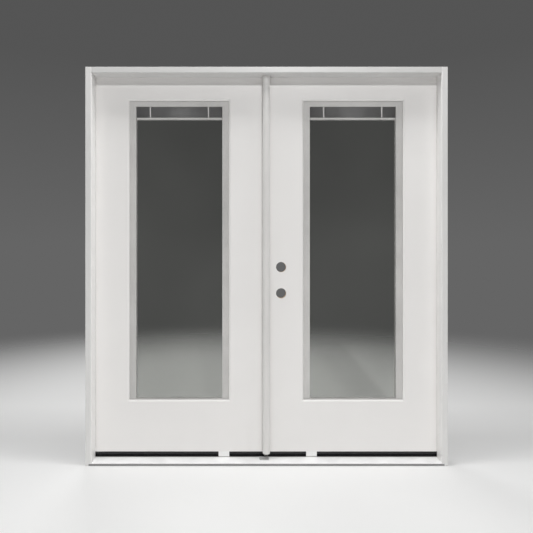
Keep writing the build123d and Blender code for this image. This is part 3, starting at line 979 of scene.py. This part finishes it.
class DOORS_OT_blinds(Operator):
    """Models the slats and ladder tapes, which spread as a blind is let down"""

    bl_idname = "doors.blinds"
    bl_label = "Blinds"

    def slat_sheet(self, work, low, high, height, crown):
        """One crowned slat, as a sheet of four strips"""
        strips = 4
        made = bmesh.ops.create_grid(work, x_segments=1, y_segments=strips, size=0.5)
        mid, size = (low + high) / 2, high - low
        bmesh.ops.scale(work, vec=(size.x, size.y, 1.0), verts=made["verts"])
        for vert in made["verts"]:
            across = 2.0 * vert.co.y / size.y
            vert.co.z = -crown * across * across
        bmesh.ops.translate(work, vec=(mid.x, mid.y, height), verts=made["verts"])
        return made["verts"]

    def tape_strip(self, work, x, y, top, bottom, width):
        """One upright strip of tape, facing the panes"""
        made = bmesh.ops.create_grid(work, x_segments=1, y_segments=1, size=0.5)
        turn = Matrix.Rotation(math.radians(90), 3, "X")
        bmesh.ops.scale(work, vec=(width, top - bottom, 1.0), verts=made["verts"])
        bmesh.ops.rotate(work, matrix=turn, verts=made["verts"])
        bmesh.ops.translate(work, vec=(x, y, (top + bottom) / 2), verts=made["verts"])
        return made["verts"]

    def hang(self, piece, leaf, shares, top, bottom):
        """Lets a share of each point's place follow the blind's bottom rail"""
        centre = middle(f"{leaf}_slats")
        start = (centre.x, centre.y, top)
        end = (centre.x, centre.y, bottom)
        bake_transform(piece, f"{leaf}_leaf", f"{leaf}_blind", start, end)
        follow = piece.data.attributes["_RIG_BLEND"]
        follow.data.foreach_set("value", shares)

    def execute(self, context):
        size = sizes()
        slat_finish = satin_enamel("slat enamel", colours().slat_grey, "X")
        tape_finish = woven_tape("ladder tape", TAPE_WHITE)
        rail_finish = satin_enamel("blind rail enamel", BLIND_RAIL_WHITE, "X")
        for leaf in LEAVES:
            low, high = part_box(f"{leaf}_slats")
            tape_low, tape_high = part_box(f"{leaf}_ladder_tapes")
            pitch = (high.z - low.z) / size.slat_count
            inset = size.tape_room / 2
            tape_places = (tape_low.x + inset, tape_high.x - inset)
            half_way = (low.z + high.z) / 2

            work, shares = bmesh.new(), []
            for index in range(size.slat_count):
                height = high.z - (index + 0.5) * pitch
                verts = self.slat_sheet(work, low, high, height, size.slat_crown)
                shares += [(index + 0.5) / size.slat_count] * len(verts)
            slats = new_piece(f"{leaf}_blind_slats", work, slat_finish, True)
            wall = slats.modifiers.new("Gauge", "SOLIDIFY")
            wall.thickness = size.slat_gauge
            wall.offset = 0.0
            self.hang(slats, leaf, shares, high.z, low.z)
            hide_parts(f"{leaf}_slats")

            work, shares = bmesh.new(), []
            for x in tape_places:
                for y in (low.y, high.y):
                    verts = self.tape_strip(work, x, y, high.z, low.z, size.tape_width)
                    shares += [0.0 if v.co.z > half_way else 1.0 for v in verts]
            tapes = new_piece(f"{leaf}_blind_tapes", work, tape_finish)
            wall = tapes.modifiers.new("Weave", "SOLIDIFY")
            wall.thickness = size.tape_gauge
            wall.offset = 0.0
            self.hang(tapes, leaf, shares, high.z, low.z)
            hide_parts(f"{leaf}_ladder_tapes")

            dress(f"{leaf}_blind_rail", rail_finish)
        return {"FINISHED"}


class DOORS_OT_handles(Operator):
    """Finishes the blinds' handles and models the ribs of their grips"""

    bl_idname = "doors.handles"
    bl_label = "Handles"

    def rib(self, work, place, length, radius):
        """One round-ended bar across the grip"""
        verts = bmesh.ops.create_uvsphere(
            work, u_segments=RIB_SEGMENTS, v_segments=RIB_RINGS, radius=radius
        )["verts"]
        along = Matrix.Rotation(math.radians(90), 3, "Y")
        bmesh.ops.rotate(work, matrix=along, verts=verts)
        for vert in verts:
            if vert.co.x:
                vert.co.x += math.copysign(length / 2 - radius, vert.co.x)
        bmesh.ops.translate(work, vec=place, verts=verts)

    def execute(self, context):
        size = sizes()
        white = moulded_plastic("handle plastic", HANDLE_WHITE, roughness=0.35)
        for leaf in LEAVES:
            for use in ("lift", "tilt"):
                node = f"{leaf}_{use}_handle"
                dress(node, white)
                low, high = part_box(node)
                centre = (low + high) / 2
                work = bmesh.new()
                for index in range(size.rib_count):
                    step = index - (size.rib_count - 1) / 2
                    place = (centre.x, high.y, centre.z + step * size.rib_pitch)
                    self.rib(work, place, size.rib_length, size.rib_radius)
                ribs = new_piece(f"{node}_ribs", work, white, True)
                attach(ribs, f"{leaf}_{use}")
        return {"FINISHED"}


class DOORS_OT_hinges(Operator):
    """Finishes the hinges and models their screws and button tips"""

    bl_idname = "doors.hinges"
    bl_label = "Hinges"

    def screw_head(self, radius):
        """A flat screw head with a cross recess, its foot on the plane"""
        rise, recess, arm = 0.12 * radius, 0.1 * radius, 0.16 * radius
        rim, slope, margin = 0.12 * radius, 0.06 * radius, 0.3 * radius
        flat = 0.6 * radius
        work = bmesh.new()
        bmesh.ops.create_circle(
            work, cap_ends=True, segments=SCREW_SEGMENTS, radius=radius
        )
        disc = list(work.faces)
        raised = bmesh.ops.extrude_face_region(work, geom=disc)["geom"]
        top = [item for item in raised if isinstance(item, bmesh.types.BMFace)]
        bmesh.ops.translate(work, vec=(0, 0, rise), verts=top[0].verts)
        bmesh.ops.inset_region(work, faces=top, thickness=rim)
        bmesh.ops.translate(work, vec=(0, 0, slope), verts=top[0].verts)
        bmesh.ops.inset_region(work, faces=top, thickness=margin)
        height = top[0].verts[0].co.z
        for normal in ((1, 0, 0), (0, 1, 0)):
            for share in (-arm, arm):
                inner = self.inner_faces(work, height, flat)
                around = {edge for face in inner for edge in face.edges}
                corners = {vert for face in inner for vert in face.verts}
                bmesh.ops.bisect_plane(
                    work,
                    geom=inner + list(around) + list(corners),
                    plane_co=Vector(normal) * share,
                    plane_no=normal,
                )
        cross = [
            face
            for face in self.inner_faces(work, height, flat)
            if min(abs(c) for c in face.calc_center_median().xy) < arm
        ]
        sunk = bmesh.ops.extrude_face_region(work, geom=cross)["geom"]
        floor = [item for item in sunk if isinstance(item, bmesh.types.BMVert)]
        bmesh.ops.translate(work, vec=(0, 0, -recess), verts=floor)
        bmesh.ops.delete(work, geom=cross, context="FACES")
        bmesh.ops.recalc_face_normals(work, faces=work.faces)
        return work

    def inner_faces(self, work, height, radius):
        """Faces of the flat that the recess is cut in"""
        level = 1e-7

        def within(vert):
            return abs(vert.co.z - height) < level and vert.co.xy.length < radius

        return [face for face in work.faces if all(map(within, face.verts))]

    def button_tip(self, radius):
        """A domed button, its foot on the plane"""
        work = bmesh.new()
        points = [work.verts.new((x * radius, 0, z * radius)) for x, z in TIP_OUTLINE]
        edges = [work.edges.new(pair) for pair in zip(points, points[1:])]
        bmesh.ops.spin(
            work,
            geom=points + edges,
            cent=(0, 0, 0),
            axis=(0, 0, 1),
            angle=math.tau,
            steps=TIP_STEPS,
            use_merge=True,
        )
        bmesh.ops.remove_doubles(work, verts=work.verts, dist=1e-6)
        bmesh.ops.recalc_face_normals(work, faces=work.faces)
        return work

    def spread_out(self, name, pattern, places, finish, body):
        """One piece of many copies of a pattern, each at its place"""
        stamp = bpy.data.meshes.new(name)
        pattern.to_mesh(stamp)
        pattern.free()
        work = bmesh.new()
        for place in places:
            made = len(work.verts)
            work.from_mesh(stamp)
            work.verts.ensure_lookup_table()
            bmesh.ops.transform(work, matrix=place, verts=work.verts[made:])
        bpy.data.meshes.remove(stamp)
        piece = new_piece(name, work, finish, True)
        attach(piece, body)

    def hinge_heights(self, side):
        """Middles of the three hinges, from the pins' own height and spacing"""
        size = sizes()
        low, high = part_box(f"{side}_hinge_pins")
        first = low.z + size.pin_stand + size.hinge_height / 2
        last = high.z - size.pin_stand - size.hinge_height / 2
        return (first, (first + last) / 2, last)

    def execute(self, context):
        size = sizes()
        nickel = brushed_metal("satin nickel", HINGE_NICKEL, "Z", roughness=0.3, tone=0.06)
        zinc = brushed_metal("screw zinc", SCREW_ZINC, "Z", roughness=0.34, tone=0.05)
        for side, leaf, way in zip(SIDES, LEAVES, (-1, 1)):
            plates = (f"{side}_jamb_hinge_plates", f"{leaf}_leaf_hinge_plates")
            pins = f"{side}_hinge_pins"
            for node in (*plates, pins):
                dress(node, nickel)
            heights = self.hinge_heights(side)
            axis = middle(pins)

            # the jamb's plates face the leaf and the leaf's plates face the jamb
            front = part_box(plates[0])[0].y
            for node, body, turn in (
                (plates[0], "frame", -way),
                (plates[1], f"{leaf}_leaf", way),
            ):
                face = axis.x - turn * size.hinge_gap / 2
                places = [
                    Matrix.Translation((face, front + reach, height + rise))
                    @ facing((turn, 0, 0))
                    @ Matrix.Rotation(index * SCREW_TURN, 4, "Z")
                    for height in heights
                    for index, (reach, rise) in enumerate(SCREW_PLACES)
                ]
                screw = self.screw_head(size.screw_radius)
                self.spread_out(f"{node}_screws", screw, places, zinc, body)

            half = size.hinge_height / 2
            tips = []
            for height in heights:
                for end in (1, -1):
                    seat = Vector((axis.x, axis.y, height + end * half))
                    tips.append(Matrix.Translation(seat) @ facing((0, 0, end)))
            tip = self.button_tip(size.tip_radius)
            self.spread_out(f"{side}_hinge_tips", tip, tips, nickel, "frame")
        return {"FINISHED"}


class DOORS_OT_stage(Operator):
    """Sets the pale floor, the soft studio light and the camera"""

    bl_idname = "doors.stage"
    bl_label = "Stage"

    def floor(self):
        work = bmesh.new()
        bmesh.ops.create_grid(work, x_segments=1, y_segments=1, size=FLOOR_REACH)
        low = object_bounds()[0]
        bmesh.ops.translate(work, vec=(0, 0, low.z - FLOOR_DROP), verts=work.verts)
        made = Finish("studio floor", roughness=0.7, specular=0.2)
        cloud = made.noise(0.8, detail=2.0)
        base = colours().floor
        made.colour(made.ramp(cloud, shade(base, 0.99), shade(base, 1.0)))
        reach = made.node("ShaderNodeVectorMath", operation="LENGTH")
        made.link(made.place, reach.inputs[0])
        far = reach.outputs["Value"]
        fade = made.spread(far, low=1.0, high=0.0, start=FADE_START, end=FADE_END)
        fade.node.interpolation_type = "SMOOTHSTEP"
        made.link(fade, made.shader.inputs["Alpha"])
        new_piece("studio_floor", work, made.material)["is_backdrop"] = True

    def lamp(self, name, place, aim, power, width, height, mirrored):
        data = bpy.data.lights.new(name, "AREA")
        data.shape = "RECTANGLE"
        data.energy, data.size, data.size_y = power, width, height
        made = bpy.data.objects.new(name, data)
        made.location = place
        turn = (Vector(aim) - Vector(place)).to_track_quat("-Z", "Y")
        made.rotation_euler = turn.to_euler()
        made.visible_camera = False
        made.visible_glossy = mirrored
        bpy.context.scene.collection.objects.link(made)

    def sky(self, strength):
        world = bpy.data.worlds.new("studio")
        bpy.context.scene.world = world
        world.use_nodes = True
        nodes, links = world.node_tree.nodes, world.node_tree.links
        direction = nodes.new("ShaderNodeTexCoord")
        split = nodes.new("ShaderNodeSeparateXYZ")
        links.new(direction.outputs["Generated"], split.inputs["Vector"])

        def gradient(axis, start, first, end, last):
            shades = nodes.new("ShaderNodeValToRGB")
            low, high = shades.color_ramp.elements
            low.position, low.color = start, (first, first, first, 1.0)
            high.position, high.color = end, (last, last, last, 1.0)
            links.new(split.outputs[axis], shades.inputs["Fac"])
            return shades.outputs["Color"]

        around = nodes["Background"]
        around.inputs["Strength"].default_value = strength
        fill = gradient("Y", start=0.1, first=0.08, end=0.5, last=1.0)
        links.new(fill, around.inputs["Color"])
        sheet = nodes.new("ShaderNodeBackground")
        backdrop = gradient("Z", start=0.02, first=0.13, end=0.35, last=0.09)
        links.new(backdrop, sheet.inputs["Color"])
        path = nodes.new("ShaderNodeLightPath")
        seen = nodes.new("ShaderNodeMath")
        seen.operation = "MAXIMUM"
        links.new(path.outputs["Is Camera Ray"], seen.inputs[0])
        links.new(path.outputs["Is Glossy Ray"], seen.inputs[1])
        mix = nodes.new("ShaderNodeMixShader")
        links.new(seen.outputs["Value"], mix.inputs["Fac"])
        links.new(around.outputs["Background"], mix.inputs[1])
        links.new(sheet.outputs["Background"], mix.inputs[2])
        links.new(mix.outputs["Shader"], nodes["World Output"].inputs["Surface"])

    def camera(self, lens, place):
        data = bpy.data.cameras.new("camera")
        data.sensor_width = SENSOR_WIDTH
        data.lens = lens
        data.shift_x, data.shift_y = LENS_SHIFT
        made = bpy.data.objects.new("camera", data)
        made.location = place
        made.rotation_euler = (math.radians(90), 0, 0)
        bpy.context.scene.collection.objects.link(made)
        bpy.context.scene.camera = made

    def execute(self, context):
        stage = context.scene.door_stage
        context.scene.view_settings.view_transform = "Standard"
        self.floor()
        self.sky(stage.fill_strength)
        for name, place, aim, width, height, mirrored in LAMPS:
            power = getattr(stage, f"{name}_power")
            self.lamp(name, place, aim, power, width, height, mirrored)
        self.camera(stage.lens, stage.camera_place)
        return {"FINISHED"}


class DOORS_PT_panel(Panel):
    """Lists the steps and the settings"""

    bl_idname = "DOORS_PT_panel"
    bl_label = "French Doors"
    bl_space_type = "VIEW_3D"
    bl_region_type = "UI"
    bl_category = "French Doors"

    def draw(self, context):
        for step in STEPS:
            self.layout.operator(step.bl_idname)
        for group in (
            context.scene.door_sizes,
            context.scene.door_colours,
            context.scene.door_stage,
        ):
            for key in group.bl_rna.properties.keys():
                if key not in ("rna_type", "name"):
                    self.layout.prop(group, key)


GROUPS = (
    ("door_sizes", DoorSizes),
    ("door_colours", DoorColours),
    ("door_stage", DoorStage),
)
STEPS = (
    DOORS_OT_frame,
    DOORS_OT_sill,
    DOORS_OT_leaves,
    DOORS_OT_astragal,
    DOORS_OT_glazing,
    DOORS_OT_blinds,
    DOORS_OT_handles,
    DOORS_OT_hinges,
    DOORS_OT_stage,
)


def register():
    for key, group in GROUPS:
        bpy.utils.register_class(group)
        setattr(bpy.types.Scene, key, PointerProperty(type=group))
    for step in STEPS:
        bpy.utils.register_class(step)
    bpy.utils.register_class(DOORS_PT_panel)


def unregister():
    bpy.utils.unregister_class(DOORS_PT_panel)
    for step in reversed(STEPS):
        bpy.utils.unregister_class(step)
    for key, group in reversed(GROUPS):
        delattr(bpy.types.Scene, key)
        bpy.utils.unregister_class(group)


def main():
    register()
    for step in STEPS:
        area, name = step.bl_idname.split(".")
        getattr(getattr(bpy.ops, area), name)()


if __name__ == "__main__":
    main()
